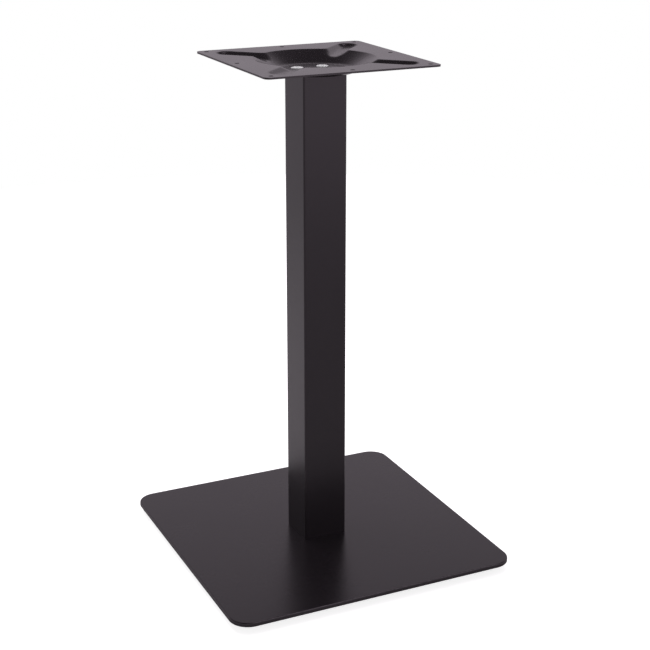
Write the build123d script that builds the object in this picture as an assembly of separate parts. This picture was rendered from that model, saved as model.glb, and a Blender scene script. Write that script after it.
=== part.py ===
"""Pedestal table leg: a steel base plate on levelling feet, a square column and a pressed top plate.

Millimetres, +Z up, front at -Y. The origin lies on the floor, under the middle of the column.
"""
import math
import os

from build123d import *

os.makedirs("parts", exist_ok=True)

# Overall
leg_height = 725.0
base_side = 430.0
column_side = 65.0
top_side = 254.0

# Base plate, cut from flat bar
base_thickness = 6.0
base_corner = 28.0
base_edge_round = 1.5
base_edge_break = 0.5

# Column, a square tube with a plate welded into each end
tube_wall = 2.0
tube_corner = 3.0
end_plate_thickness = 8.0

# Screws that hold the column, four in a square at each end
screw_size = 8.0
screw_pitch = 38.0
screw_clearance = 0.5
thread_clearance = 0.1
bolt_head = 17.0
bolt_head_height = 2.8
bolt_head_edge = 1.2
bolt_reach = 13.0
countersunk_head = 16.0
socket_across_flats = 5.0
socket_depth = 3.0

# Top plate, pressed from sheet
sheet = 2.5
top_corner = 8.0
rim_hole = 6.5
rim_hole_margin = 12.0
dish_radius = 85.0
dish_depth = 16.0
dish_draft = 63.0
dish_floor_round = 18.0
groove_width = 31.0
groove_draft = 50.0
groove_mouth_depth = 7.4
groove_tip_depth = 4.0
groove_tip_land = 15.5
groove_floor_round = 10.0
mouth_round = 18.0
rim_round = 5.0

# Levelling feet, one near each corner of the base plate
foot_inset = 40.0
foot_travel = 4.0
foot_thread = 6.0
moving_gap = 0.3
pad_diameter = 25.0
pad_height = 4.0
pad_floor = 1.1
pad_edge_break = 0.8
button_diameter = 9.0
button_height = 1.2
neck_diameter = 5.0
collar_across_flats = 10.0
collar_height = 2.0
nut_across_flats = 11.0
nut_height = 5.0

# Heights that follow from the pieces stacked on the floor
collar_bottom = pad_height + moving_gap
nut_bottom = collar_bottom + collar_height + moving_gap
base_bottom = nut_bottom + nut_height
base_top = base_bottom + base_thickness
column_top = leg_height - dish_depth - sheet
stud_tip = base_bottom + foot_travel + moving_gap

column_screws = GridLocations(screw_pitch, screw_pitch, 2, 2)
on_base = (Align.CENTER, Align.CENTER, Align.MIN)


def hexagon(across_flats, height):
    """A hexagon bar standing on Z = 0."""
    return extrude(RegularPolygon(across_flats / 2, 6, major_radius=False), amount=height)


def disc(diameter, bottom, top):
    """A round bar between two heights."""
    return Pos(0, 0, bottom) * extrude(Circle(diameter / 2), amount=top - bottom)


# Base plate. Seen from above it is clean: the column's screws come from below, and the feet's
# threads stop short of the upper face.
base_blank = extrude(RectangleRounded(base_side, base_side, base_corner), amount=base_thickness)
base_blank = fillet(base_blank.edges().group_by(Axis.Z)[-1], base_edge_round)
base_blank = chamfer(base_blank.edges().group_by(Axis.Z)[0], base_edge_break)
foot_pitch = base_side - 2 * foot_inset
foot_places = GridLocations(foot_pitch, foot_pitch, 2, 2)
foot_hole = foot_thread + 2 * moving_gap
foot_pocket = disc(foot_hole, 0, foot_travel + 3 * moving_gap)
seat_radius = countersunk_head / 2 + thread_clearance
shank_radius = screw_size / 2 + thread_clearance
seat = Cone(seat_radius, shank_radius, seat_radius - shank_radius, align=on_base)
screw_hole = seat + disc(2 * shank_radius, 0, base_thickness)
base_plate = base_blank - foot_places * foot_pocket - column_screws * screw_hole
export_step(Pos(0, 0, base_bottom) * base_plate, "parts/base_plate.step")

# Column tube
tube_inside = column_side - 2 * tube_wall
tube_section = RectangleRounded(column_side, column_side, tube_corner)
tube_section -= RectangleRounded(tube_inside, tube_inside, tube_corner - tube_wall)
column_tube = Pos(0, 0, base_top) * extrude(tube_section, amount=column_top - base_top)
export_step(column_tube, "parts/column_tube.step")

# End plates, flush with the tube's ends and tapped for the screws
end_outline = RectangleRounded(tube_inside, tube_inside, tube_corner)
end_blank = extrude(end_outline, amount=end_plate_thickness)
tapped_hole = disc(screw_size + 2 * thread_clearance, 0, end_plate_thickness)
end_plate = end_blank - column_screws * tapped_hole
export_step(Pos(0, 0, base_top) * end_plate, "parts/column_foot_plate.step")
export_step(Pos(0, 0, column_top - end_plate_thickness) * end_plate, "parts/column_head_plate.step")

# Base screws, countersunk flush with the plate's underside
head_depth = (countersunk_head - screw_size) / 2
screw_head = Cone(countersunk_head / 2, screw_size / 2, head_depth, align=on_base)
base_screw = screw_head + disc(screw_size, 0, base_thickness + end_plate_thickness)
base_screw -= hexagon(socket_across_flats, socket_depth)
base_screws = Pos(0, 0, base_bottom) * column_screws * base_screw
export_step(Compound(children=base_screws), "parts/base_screws.step")

# Top plate. The sheet is what lies between two pressed blocks: one carries its upper face and the
# other its underside, so that the sheet keeps one thickness round every bend.
rim_pitch = top_side - 2 * rim_hole_margin
groove_tip = rim_pitch / math.sqrt(2) - groove_tip_land
groove_start = dish_radius - groove_width
groove_fall = (groove_mouth_depth - groove_tip_depth) / (groove_tip - dish_radius)
groove_start_depth = groove_tip_depth + groove_fall * (groove_tip - groove_start)
block_depth = dish_depth + 4 * sheet


def wall_shift(draft, below):
    """How far a sloping wall moves outwards, measured in the rim's plane, on a face that lies deeper."""
    return below * math.tan(math.radians(45 - draft / 2))


def pressed_block(below):
    """A block pressed with the dish and grooves, on the face that lies so far below the upper one."""
    top_radius = dish_radius + wall_shift(dish_draft, below)
    floor_radius = top_radius - dish_depth * math.tan(math.radians(dish_draft))
    dish = Cone(floor_radius, top_radius, dish_depth, align=(Align.CENTER, Align.CENTER, Align.MAX))
    dish = fillet(dish.faces().sort_by(Axis.Z)[0].edges(), dish_floor_round + below)

    widening = 2 * wall_shift(groove_draft, below)
    groove_plan = SlotOverall(groove_tip - groove_start + widening, groove_width + widening)
    groove = extrude(
        Pos((groove_tip + groove_start) / 2, 0) * groove_plan,
        amount=-groove_start_depth,
        taper=groove_draft,
    )
    tip_depth = groove_tip_depth + below * (math.hypot(1, groove_fall) - 1)
    groove_floor = Plane(
        origin=(groove_tip, 0, -tip_depth),
        x_dir=(1, 0, groove_fall),
        z_dir=(-groove_fall, 0, 1),
    )
    groove = split(groove, bisect_by=groove_floor, keep=Keep.TOP)
    groove = fillet(groove.faces().sort_by(Axis.Z)[0].edges(), groove_floor_round + below)
    grooves = [Rot(0, 0, turn) * groove for turn in (45, 135, 225, 315)]

    punch = dish + grooves
    punch = fillet(new_edges(dish, *grooves, combined=punch), mouth_round - below)
    block = extrude(RectangleRounded(top_side, top_side, top_corner), amount=below - block_depth) - punch
    rim = block.faces().sort_by(Axis.Z)[-1].inner_wires()[0].edges()
    return Pos(0, 0, -below) * fillet(rim, rim_round - below)


rim_places = [*GridLocations(rim_pitch, rim_pitch, 2, 2), *PolarLocations(rim_pitch / 2, 4)]
rim_drill = disc(rim_hole, -block_depth, 0)
bolt_drill = disc(screw_size + 2 * screw_clearance, -block_depth, 0)
drills = [place * rim_drill for place in rim_places] + [place * bolt_drill for place in column_screws]
top_plate = pressed_block(0) - [pressed_block(sheet), *drills]
export_step(Pos(0, 0, leg_height) * top_plate, "parts/top_plate.step")

# Top bolts, their low domed heads standing on the dish's floor
dome_rise = bolt_head_height - bolt_head_edge
dome_radius = ((bolt_head / 2) ** 2 + dome_rise ** 2) / (2 * dome_rise)
dome = Pos(0, 0, bolt_head_height - dome_radius) * Sphere(dome_radius)
bolt = (disc(bolt_head, 0, bolt_head_height) & dome) + disc(screw_size, -bolt_reach, 0)
bolt -= Pos(0, 0, bolt_head_height - socket_depth) * hexagon(socket_across_flats, socket_depth)
top_bolts = Pos(0, 0, leg_height - dish_depth) * column_screws * bolt
export_step(Compound(children=top_bolts), "parts/top_bolts.step")

# Weld nuts that carry the feet, on the base plate's underside
nut = hexagon(nut_across_flats, nut_height) - disc(foot_hole, 0, nut_height)
leveller_nuts = Pos(0, 0, nut_bottom) * foot_places * nut
export_step(Compound(children=leveller_nuts), "parts/leveller_nuts.step")

# Levelling feet: a stud turned by its hexagon collar, and a pad that snaps over the stud's button
# and stays still on the floor while the stud turns
button_bottom = pad_floor + moving_gap
button_top = button_bottom + button_height
stud = disc(button_diameter, button_bottom, button_top)
stud += disc(neck_diameter, button_top, collar_bottom)
stud += Pos(0, 0, collar_bottom) * hexagon(collar_across_flats, collar_height)
stud += disc(foot_thread, collar_bottom + collar_height, stud_tip)

pad = disc(pad_diameter, 0, pad_height)
pad = chamfer(pad.edges().group_by(Axis.Z)[-1], pad_edge_break)
pad -= disc(button_diameter + 2 * moving_gap, pad_floor, button_top + moving_gap)
pad -= disc(neck_diameter + 2 * moving_gap, pad_floor, pad_height)

for end, y in (("front", -foot_pitch / 2), ("back", foot_pitch / 2)):
    for side, x in (("left", -foot_pitch / 2), ("right", foot_pitch / 2)):
        export_step(Pos(x, y) * stud, f"parts/stud_{end}_{side}.step")
        export_step(Pos(x, y) * pad, f"parts/pad_{end}_{side}.step")
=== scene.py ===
"""A black pedestal table leg: base plate on levelling feet, square column, pressed top plate."""
import math

import bpy
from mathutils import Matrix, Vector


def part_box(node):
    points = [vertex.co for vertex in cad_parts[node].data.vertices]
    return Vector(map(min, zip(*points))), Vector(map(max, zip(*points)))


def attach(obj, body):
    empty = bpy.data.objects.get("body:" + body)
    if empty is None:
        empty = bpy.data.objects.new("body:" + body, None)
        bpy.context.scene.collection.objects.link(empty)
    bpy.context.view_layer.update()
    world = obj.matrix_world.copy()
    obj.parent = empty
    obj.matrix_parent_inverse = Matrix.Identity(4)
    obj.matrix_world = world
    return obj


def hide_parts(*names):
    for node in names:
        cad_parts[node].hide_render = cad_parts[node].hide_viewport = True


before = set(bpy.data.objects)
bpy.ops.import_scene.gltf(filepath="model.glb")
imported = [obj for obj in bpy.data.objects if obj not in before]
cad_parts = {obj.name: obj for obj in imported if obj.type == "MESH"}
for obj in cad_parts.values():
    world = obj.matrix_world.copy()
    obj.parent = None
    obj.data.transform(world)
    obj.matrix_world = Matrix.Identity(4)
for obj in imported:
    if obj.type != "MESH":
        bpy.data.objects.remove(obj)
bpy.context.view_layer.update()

# Base plate: a flat square of 6 mm steel, laser cut, its upper edge rounded over by grinding. It is
# powder coated satin black. The coat lies on it as a very fine orange peel, and comes out duller on
# the cut sides below the round.
PLATE_ROUND = 0.0015
PLATE_HAZE = 0.24
COAT_BLACK = (0.0080, 0.0060, 0.0078, 1)
COAT_GREY = (0.0110, 0.0085, 0.0107, 1)
COAT_GLOSS_TINT = (1.0, 0.93, 0.985, 1)
COAT_HAZE = 0.21
COAT_PEEL = 0.00001
COAT_DULL = 0.35
COAT_DULL_STEP = 0.001


class Finish:
    """The value at one socket of a finish: sums on it add Math nodes, and node adds any other."""

    def __init__(self, tree, socket=None):
        self.tree = tree
        self.socket = socket

    def node(self, kind, settings, sockets, out=0):
        made = self.tree.nodes.new(kind)
        for name, value in settings.items():
            setattr(made, name, value)
        for name, value in sockets.items():
            if isinstance(value, Finish):
                self.tree.links.new(value.socket, made.inputs[name])
            else:
                made.inputs[name].default_value = value
        return Finish(self.tree, made.outputs[out] if made.outputs else None)

    def maths(self, operation, first, second):
        return self.node("ShaderNodeMath", {"operation": operation}, {0: first, 1: second})

    def __add__(self, other):
        return self.maths("ADD", self, other)

    def __radd__(self, other):
        return self.maths("ADD", other, self)

    def __sub__(self, other):
        return self.maths("SUBTRACT", self, other)

    def __rsub__(self, other):
        return self.maths("SUBTRACT", other, self)

    def __mul__(self, other):
        return self.maths("MULTIPLY", self, other)

    def __rmul__(self, other):
        return self.maths("MULTIPLY", other, self)

    def place(self):
        """The place on the piece, which its patterns read."""
        return self.node("ShaderNodeTexCoord", {}, {}, "Object")

    def noise(self, where, scale, detail=2.0, roughness=0.5):
        return self.node("ShaderNodeTexNoise", {}, {
            "Vector": where, "Scale": scale, "Detail": detail, "Roughness": roughness})

    def blend(self, share, first, second):
        """A colour between two. A Mix node has its colours at sockets 6 and 7, and gives one at 2."""
        return self.node("ShaderNodeMix", {"data_type": "RGBA"}, {0: share, 6: first, 7: second}, 2)

    def fade(self, ends, first, last):
        """Passes softly from the first level to the last while this value runs between two ends."""
        return self.node("ShaderNodeMapRange", {"interpolation_type": "SMOOTHSTEP"}, {
            "Value": self, "From Min": ends[0], "From Max": ends[1], "To Min": first, "To Max": last})

    def relief(self, depth):
        """The normals of a surface that this value raises by as much as a depth."""
        return self.node("ShaderNodeBump", {}, {"Distance": depth, "Height": self})

    def surface(self, sockets):
        """Ends a material with a shader that has these sockets."""
        shader = self.node("ShaderNodeBsdfPrincipled", {}, sockets)
        self.node("ShaderNodeOutputMaterial", {}, {"Surface": shader})


def new_finish(name):
    """A material with an empty tree of nodes."""
    material = bpy.data.materials.new(name)
    material.use_nodes = True
    material.node_tree.nodes.clear()
    return material, Finish(material.node_tree)


def powder_coat(name, haze=COAT_HAZE, smooth_from=0.0):
    """Satin powder coat, duller on what lies below a height."""
    material, finish = new_finish(name)
    where = finish.place()
    height = finish.node("ShaderNodeSeparateXYZ", {}, {"Vector": where}, "Z")
    dull = height.fade((smooth_from - COAT_DULL_STEP, smooth_from), COAT_DULL, 0.0)
    drift = finish.noise(where, scale=14.0, detail=3.0)
    flow = finish.noise(where, scale=160.0)
    peel = finish.noise(where, scale=620.0, detail=1.0)
    grit = finish.noise(where, scale=2600.0, detail=1.0)
    finish.surface({
        "Base Color": finish.blend(drift, COAT_BLACK, COAT_GREY),
        "Roughness": haze + 0.05 * drift + 0.03 * grit + dull,
        "Specular Tint": COAT_GLOSS_TINT,
        "Normal": (peel + 0.25 * grit + 0.8 * flow).relief(COAT_PEEL)})
    return material


def dress(node, material):
    """Gives a piece from the frame its finish."""
    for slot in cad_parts[node].material_slots:
        slot.material = material


plate_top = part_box("base_plate")[1][2]
dress("base_plate", powder_coat("satin_black_on_cut_plate", PLATE_HAZE, plate_top - PLATE_ROUND))

# Weld nuts: four M6 hexagon nuts, each run round with a bead of weld under the base plate. The coat
# goes on afterwards and covers both.
FEET = ("front_left", "front_right", "back_left", "back_right")
BEAD_ROUND = 0.0013
BEAD_LAP = 0.3 * BEAD_ROUND
BEAD_GAP = 0.00005
BEAD_RIPPLES = 26
BEAD_RIPPLE = 0.00022
BEAD_CREST = 0.3
BEAD_CREASE = math.radians(50)
DOUBLES_WITHIN = 1e-6
satin_black = powder_coat("satin_black_powder_coat")
dress("leveller_nuts", satin_black)


def edit(piece, chosen=lambda point: True):
    """Opens one piece alone for editing, with the points selected for which chosen says yes."""
    if bpy.context.mode != "OBJECT":
        bpy.ops.object.mode_set(mode="OBJECT")
    bpy.ops.object.select_all(action="DESELECT")
    bpy.context.view_layer.objects.active = piece
    piece.select_set(True)
    bpy.ops.object.mode_set(mode="EDIT")
    bpy.ops.mesh.select_mode(type="VERT")
    bpy.ops.mesh.select_all(action="DESELECT")
    bpy.ops.object.mode_set(mode="OBJECT")
    for point in piece.data.vertices:
        point.select = chosen(point.co)
    bpy.ops.object.mode_set(mode="EDIT")


def close(piece):
    """Merges a piece's doubles and turns its faces outwards."""
    edit(piece)
    bpy.ops.mesh.remove_doubles(threshold=DOUBLES_WITHIN)
    bpy.ops.mesh.normals_make_consistent(inside=False)
    bpy.ops.object.mode_set(mode="OBJECT")


def cut(piece, height, keep_above):
    """Cuts a piece off flat at a height and closes the cut."""
    edit(piece)
    bpy.ops.mesh.bisect(
        plane_co=(0, 0, height), plane_no=(0, 0, 1), use_fill=True,
        clear_inner=keep_above, clear_outer=not keep_above)
    bpy.ops.object.mode_set(mode="OBJECT")


def foot_place(foot):
    """The middle of one foot, from its pad."""
    low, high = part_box(f"pad_{foot}")
    return (low[0] + high[0]) / 2, (low[1] + high[1]) / 2


def copy_to(piece, name, place):
    """A copy with a mesh of its own, moved sideways within that mesh."""
    twin = piece.copy()
    twin.data = piece.data.copy()
    twin.name = name
    twin.data.name = name
    bpy.context.scene.collection.objects.link(twin)
    bpy.ops.object.select_all(action="DESELECT")
    bpy.context.view_layer.objects.active = twin
    twin.select_set(True)
    twin.location = (place[0], place[1], 0)
    bpy.ops.object.transform_apply(location=True, rotation=True, scale=True)
    return twin


def on_ripple(point):
    """Whether a point of the bead lies near the crest of a ripple."""
    return math.cos(BEAD_RIPPLES * math.atan2(point.y, point.x)) > BEAD_CREST


nuts_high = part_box("leveller_nuts")[1]
nut_corner = nuts_high[0] - foot_place("front_right")[0]
bpy.ops.object.select_all(action="DESELECT")
bpy.ops.mesh.primitive_torus_add(
    major_segments=4 * BEAD_RIPPLES, minor_segments=14, major_radius=nut_corner - BEAD_LAP,
    minor_radius=BEAD_ROUND, location=(0, 0, nuts_high[2]))
bead = bpy.context.object
bead.name = "weld_bead"
bpy.ops.object.transform_apply(location=True, rotation=True, scale=True)
edit(bead, on_ripple)
bpy.ops.transform.shrink_fatten(value=-BEAD_RIPPLE)
edit(bead)
bpy.ops.mesh.vertices_smooth(factor=0.4, repeat=1)
cut(bead, nuts_high[2] - BEAD_GAP, keep_above=False)
close(bead)
bpy.ops.object.shade_smooth_by_angle(angle=BEAD_CREASE)
bead.data.materials.append(satin_black)
for foot in FEET:
    run = copy_to(bead, f"weld_bead_{foot}", foot_place(foot))
    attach(run, "frame")
bpy.data.objects.remove(bead)

# Column: 65 mm square steel tube with a plate welded into each end and ground flush. The tube is
# coated with the rest and comes out a little hazier, and the plates' outer faces are left as they
# were ground.
TUBE_HAZE = 0.28
STEEL_DARK = (0.20, 0.20, 0.21, 1)
STEEL_PALE = (0.36, 0.36, 0.37, 1)
GRIND_MARKS = (900.0, 24.0, 24.0)
dress("column_tube", powder_coat("satin_black_on_drawn_tube", TUBE_HAZE))


def ground_steel(name):
    """Bare steel with fine marks that all run one way."""
    material, finish = new_finish(name)
    along = finish.node("ShaderNodeMapping", {}, {"Vector": finish.place(), "Scale": GRIND_MARKS})
    scratch = finish.noise(along, scale=1.0, detail=4.0, roughness=0.6)
    finish.surface({
        "Base Color": finish.blend(scratch, STEEL_DARK, STEEL_PALE),
        "Metallic": 1.0,
        "Roughness": 0.28 + 0.2 * scratch})
    return material


ground_plate = ground_steel("ground_steel_plate")
dress("column_foot_plate", ground_plate)
dress("column_head_plate", ground_plate)

# Base screws: M8 countersunk socket screws, zinc plated, that come up through the base plate into
# the column's foot.
ZINC_PALE = (0.86, 0.86, 0.87, 1)
ZINC_GREY = (0.74, 0.74, 0.75, 1)
ZINC_GRAIN = 0.000006


def bright_zinc(name):
    """Clear zinc plate, in which a milky bloom shows here and there."""
    material, finish = new_finish(name)
    where = finish.place()
    bloom = finish.noise(where, scale=180.0, detail=3.0)
    grain = finish.noise(where, scale=2400.0)
    finish.surface({
        "Base Color": finish.blend(bloom, ZINC_PALE, ZINC_GREY),
        "Metallic": 0.35 + 0.2 * bloom,
        "Roughness": 0.20 + 0.12 * grain,
        "Normal": (grain + bloom).relief(ZINC_GRAIN)})
    return material


zinc = bright_zinc("bright_zinc_plate")
dress("base_screws", zinc)

# Top plate: 2.5 mm sheet, pressed with a round dish for the bolts and four grooves that stiffen
# its corners, then drilled for the table top's screws and coated.
dress("top_plate", satin_black)

# Top bolts: four M8 screws with low domed heads and hexagon sockets, zinc plated, that clamp the
# dish's floor to the column's head.
dress("top_bolts", zinc)

# Levelling studs: M6 screws with a hexagon collar to turn them by and a button that the pad
# snaps over. They are turned from bar, their thread is rolled, and they are zinc plated.
THREAD_PITCH = 0.001
THREAD_OUTER = 0.00295
THREAD_ROOT = 0.00239
THREAD_TIP = 0.0006
THREAD_VALLEY = 0.20 * THREAD_PITCH
THREAD_CREST = (0.52 * THREAD_PITCH, 0.68 * THREAD_PITCH)
THREAD_STEPS = 28
COLLAR_FLATS = 0.010
COLLAR_LOW = 0.0043
COLLAR_HIGH = 0.0063
COLLAR_BREAK = 0.00035
COLLAR_TURN = math.radians(30)
BUTTON_OUTER = 0.0045
BUTTON_LOW = 0.0014
BUTTON_HIGH = 0.0026
BUTTON_BREAK = 0.0002
NECK_OUTER = 0.0025
ROUND_STEPS = 40
STUD_LAP = 0.0002
STUD_CREASE = math.radians(35)


def turned(name, outline, steps, pitch=0.0, turns=1):
    """A closed outline of radius and height pairs, turned about the foot's middle or wound up it."""
    bpy.ops.object.select_all(action="DESELECT")
    bpy.ops.mesh.primitive_plane_add(size=0.001, location=(0, 0, 0))
    piece = bpy.context.object
    piece.name = name
    # The plane shrinks to the outline's first point, which is then drawn out from point to point.
    edit(piece)
    bpy.ops.mesh.merge(type="CENTER")
    bpy.ops.mesh.select_all(action="SELECT")
    bpy.ops.transform.translate(value=(outline[0][0], 0, outline[0][1]))
    for (old_radius, old_height), (radius, height) in zip(outline, outline[1:]):
        bpy.ops.mesh.extrude_region_move(
            TRANSFORM_OT_translate={"value": (radius - old_radius, 0, height - old_height)})
    bpy.ops.object.mode_set(mode="OBJECT")
    winding = piece.modifiers.new("winding", "SCREW")
    winding.axis = "Z"
    winding.angle = math.tau
    winding.screw_offset = pitch
    winding.iterations = turns
    winding.steps = steps
    winding.render_steps = steps
    winding.use_merge_vertices = pitch == 0.0
    winding.merge_threshold = DOUBLES_WITHIN
    bpy.ops.object.modifier_apply(modifier="winding")
    return piece


stud_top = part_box("stud_front_left")[1][2]
thread_start = COLLAR_HIGH - 2 * THREAD_PITCH
thread_end = stud_top - THREAD_TIP
thread = turned("stud_thread", [
    (THREAD_ROOT, thread_start),
    (THREAD_ROOT, thread_start + THREAD_VALLEY),
    (THREAD_OUTER, thread_start + THREAD_CREST[0]),
    (THREAD_OUTER, thread_start + THREAD_CREST[1]),
    (THREAD_ROOT, thread_start + THREAD_PITCH),
], THREAD_STEPS, THREAD_PITCH, math.ceil((thread_end - thread_start) / THREAD_PITCH) + 1)
close(thread)
cut(thread, COLLAR_HIGH - STUD_LAP, keep_above=True)
cut(thread, thread_end, keep_above=False)
shank = turned("stud_shank", [
    (0.0, BUTTON_LOW),
    (BUTTON_OUTER - BUTTON_BREAK, BUTTON_LOW),
    (BUTTON_OUTER, BUTTON_LOW + BUTTON_BREAK),
    (BUTTON_OUTER, BUTTON_HIGH - BUTTON_BREAK),
    (BUTTON_OUTER - BUTTON_BREAK, BUTTON_HIGH),
    (NECK_OUTER, BUTTON_HIGH),
    (NECK_OUTER, COLLAR_LOW + STUD_LAP),
    (0.0, COLLAR_LOW + STUD_LAP),
], ROUND_STEPS)
tip = turned("stud_tip", [
    (0.0, thread_end - STUD_LAP),
    (THREAD_ROOT, thread_end - STUD_LAP),
    (THREAD_ROOT, thread_end),
    (THREAD_ROOT - THREAD_TIP, stud_top),
    (0.0, stud_top),
], ROUND_STEPS)
bpy.ops.object.select_all(action="DESELECT")
bpy.ops.mesh.primitive_cylinder_add(
    vertices=6, radius=COLLAR_FLATS / math.sqrt(3), depth=COLLAR_HIGH - COLLAR_LOW,
    location=(0, 0, (COLLAR_LOW + COLLAR_HIGH) / 2), rotation=(0, 0, COLLAR_TURN))
collar = bpy.context.object
bpy.ops.object.transform_apply(location=True, rotation=True, scale=True)
edit(collar)
bpy.ops.mesh.bevel(offset=COLLAR_BREAK, segments=3, affect="EDGES")
sections = (thread, shank, tip, collar)
for section in sections:
    close(section)
for section in sections:
    section.select_set(True)
bpy.ops.object.join()
stud = bpy.context.object
stud.data.materials.clear()
stud.data.materials.append(zinc)
bpy.ops.object.shade_smooth_by_angle(angle=STUD_CREASE)
for foot in FEET:
    screw = copy_to(stud, f"levelling_stud_{foot}", foot_place(foot))
    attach(screw, f"stud_{foot}")
    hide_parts(f"stud_{foot}")
bpy.data.objects.remove(stud)

# Floor pads: black nylon mouldings, snapped over the studs' buttons. They stand still on the floor
# while the studs turn, and keep the fine spark texture of their mould.
NYLON_BLACK = (0.010, 0.010, 0.011, 1)
NYLON_GREY = (0.018, 0.018, 0.019, 1)
NYLON_SPARK = 0.00002


def moulded_nylon(name):
    """Dull black nylon, a little cloudy."""
    material, finish = new_finish(name)
    where = finish.place()
    cloud = finish.noise(where, scale=240.0, detail=3.0)
    spark = finish.noise(where, scale=3800.0, detail=1.0)
    finish.surface({
        "Base Color": finish.blend(cloud, NYLON_BLACK, NYLON_GREY),
        "Roughness": 0.46 + 0.12 * cloud,
        "Normal": spark.relief(NYLON_SPARK)})
    return material


nylon = moulded_nylon("black_moulded_nylon")
for foot in FEET:
    dress(f"pad_{foot}", nylon)

# Floor: a round sheet of pale matt paper under the leg, which takes its shadow. It glows to the
# camera, so that it runs on into the white behind it, and a little to what mirrors it.
FLOOR_RADIUS = 2.4
FLOOR_PALE = (0.80, 0.735, 0.79, 1)
FLOOR_GLOW = 0.84
FLOOR_GLOW_MIRRORED = 0.06
bpy.ops.object.select_all(action="DESELECT")
bpy.ops.mesh.primitive_circle_add(vertices=96, radius=FLOOR_RADIUS, fill_type="NGON", location=(0, 0, 0))
floor = bpy.context.object
floor.name = "studio_floor"
pale_floor, paper = new_finish("pale_floor")


def ray(finish, *kinds):
    """One where a surface is met by a ray of such a kind, and otherwise nought."""
    first, *others = [finish.node("ShaderNodeLightPath", {}, {}, f"Is {kind} Ray") for kind in kinds]
    return sum(others, first)


matt = paper.node("ShaderNodeBsdfDiffuse", {}, {"Color": FLOOR_PALE})
glow = paper.node("ShaderNodeEmission", {}, {"Strength": FLOOR_GLOW})
glowing = paper.node("ShaderNodeAddShader", {}, {0: matt, 1: glow})
share = ray(paper, "Camera") + FLOOR_GLOW_MIRRORED * ray(paper, "Glossy", "Transmission")
lit = paper.node("ShaderNodeMixShader", {}, {0: share, 1: matt, 2: glowing})
paper.node("ShaderNodeOutputMaterial", {}, {"Surface": lit})
floor.data.materials.append(pale_floor)

# Studio: white to the camera, and plain light to matt surfaces. Gloss mirrors the room: lit walls
# under a dark ceiling, a lighter sweep at the front right, and a small panel high above the leg.
STUDIO_WHITE = (1.0, 1.0, 1.0, 1)
STUDIO_TINT = (1.0, 0.90, 0.99, 1)
STUDIO_LIGHT = 0.30
WALL_FOOT = 0.53
WALL_HEAD = 0.74
WALL_RISE = (0.03, 0.40)
WALL_FADE = (0.36, 0.74)
CEILING = 0.14
SWEEP = 0.68
SWEEP_FADE = (0.05, 0.45)
SWEEP_PLACE = (0.42, -0.91, 0.0)
PANEL = 4.5
PANEL_EDGE = (0.955, 0.985)
PANEL_PLACE = (0.35, -0.26, 0.90)
world = bpy.data.worlds.new("white_studio")
bpy.context.scene.world = world
world.use_nodes = True
world.node_tree.nodes.clear()
studio = Finish(world.node_tree)
direction = studio.node("ShaderNodeTexCoord", {}, {}, "Generated")
rise = studio.node("ShaderNodeSeparateXYZ", {}, {"Vector": direction}, "Z")


def facing(place):
    """How nearly a ray runs towards a place, one at most."""
    return studio.node("ShaderNodeVectorMath", {"operation": "DOT_PRODUCT"}, {
        0: direction, 1: place}, "Value")


wall = rise.fade(WALL_RISE, WALL_FOOT, WALL_HEAD) * rise.fade(WALL_FADE, 1.0, CEILING)
sweep = rise.fade(SWEEP_FADE, SWEEP, 0.0) * facing(SWEEP_PLACE).fade((0.0, 1.0), 0.0, 1.0)
panel = facing(PANEL_PLACE).fade(PANEL_EDGE, 0.0, PANEL)
seen = ray(studio, "Camera")
mirrored = ray(studio, "Glossy", "Transmission")
light = studio.node("ShaderNodeBackground", {}, {
    "Color": studio.blend(mirrored, STUDIO_WHITE, STUDIO_TINT),
    "Strength": seen + mirrored * (wall + sweep + panel) + (1 - seen - mirrored) * STUDIO_LIGHT})
studio.node("ShaderNodeOutputWorld", {}, {"Surface": light})

# Lamps: three square softboxes, which gloss doesn't mirror. Two stand behind the leg and light the
# floor there, and a small one over the top plate reaches into its dish.


def softbox(name, place, aim, side, watts):
    """A square lamp that faces a point."""
    lamp = bpy.data.lights.new(name, "AREA")
    lamp.shape = "SQUARE"
    lamp.size = side
    lamp.energy = watts
    holder = bpy.data.objects.new(name, lamp)
    bpy.context.scene.collection.objects.link(holder)
    holder.location = place
    along = [end - start for end, start in zip(aim, place)]
    flat = math.hypot(along[0], along[1])
    holder.rotation_euler = (math.atan2(flat, -along[2]), 0, math.atan2(-along[0], along[1]))
    holder.visible_glossy = False


softbox("key_softbox", place=(-0.5, 0.8, 1.8), aim=(-0.3, 0.5, 0.0), side=0.9, watts=11.4)
softbox("fill_softbox", place=(0.75, 1.0, 1.5), aim=(-0.2, 0.45, 0.0), side=0.7, watts=7.0)
softbox("top_softbox", place=(-0.15, -0.25, 1.35), aim=(0.0, 0.0, 0.72), side=0.5, watts=1.8)

# Camera: a long lens to the left of the leg's front and a little above it, where the photograph was
# taken from. The lens is shifted only as far as the framing needs.
CAMERA_PLACE = (-0.8197, -1.7777, 1.0212)
CAMERA_TILT = math.radians(72.873)
CAMERA_TURN = math.radians(-25.132)
LENS_LENGTH = 79.573
LENS_SENSOR = 36.0
LENS_SHIFT = -0.08
lens = bpy.data.cameras.new("photo_camera")
lens.sensor_width = LENS_SENSOR
lens.lens = LENS_LENGTH
lens.shift_y = LENS_SHIFT
camera = bpy.data.objects.new("photo_camera", lens)
bpy.context.scene.collection.objects.link(camera)
camera.location = CAMERA_PLACE
camera.rotation_euler = (CAMERA_TILT, 0, CAMERA_TURN)
bpy.context.scene.camera = camera
bpy.context.scene.view_settings.view_transform = "Standard"
